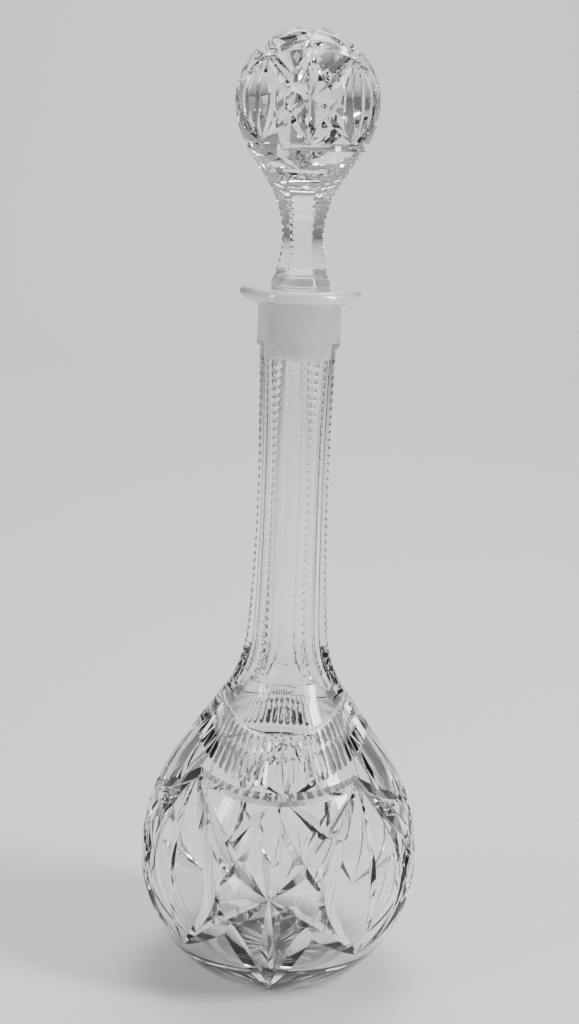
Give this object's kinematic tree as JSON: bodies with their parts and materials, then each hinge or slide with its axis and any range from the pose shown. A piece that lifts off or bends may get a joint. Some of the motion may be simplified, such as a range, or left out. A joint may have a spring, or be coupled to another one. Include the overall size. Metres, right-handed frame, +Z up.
{
  "type": "wine decanter",
  "caption": "Tall cut-glass decanter: mitre-cut globe body, long panelled neck, flared lip, and a ball stopper on a panelled stem with a ground tapered plug.",
  "frame": {"origin": "centre of the base on the surface that it stands on", "axes": "+Z up along the neck, +Y away from the front"},
  "size_m": [0.12, 0.12, 0.4046],
  "materials": {
    "clear_crystal": "polished, mitre cut",
    "stopper_crystal": "polished, mitre cut",
    "ground_glass": "ground, frosted"
  },
  "bodies": {
    "decanter": {"decanter": "clear_crystal"},
    "stopper": {"stopper": "stopper_crystal"}
  },
  "joints": [
    {"name": "stopper_lift", "type": "slide", "parent": "decanter", "child": "stopper", "axis": [0, 0, 1], "range_m": [0, 0.06]}
  ]
}
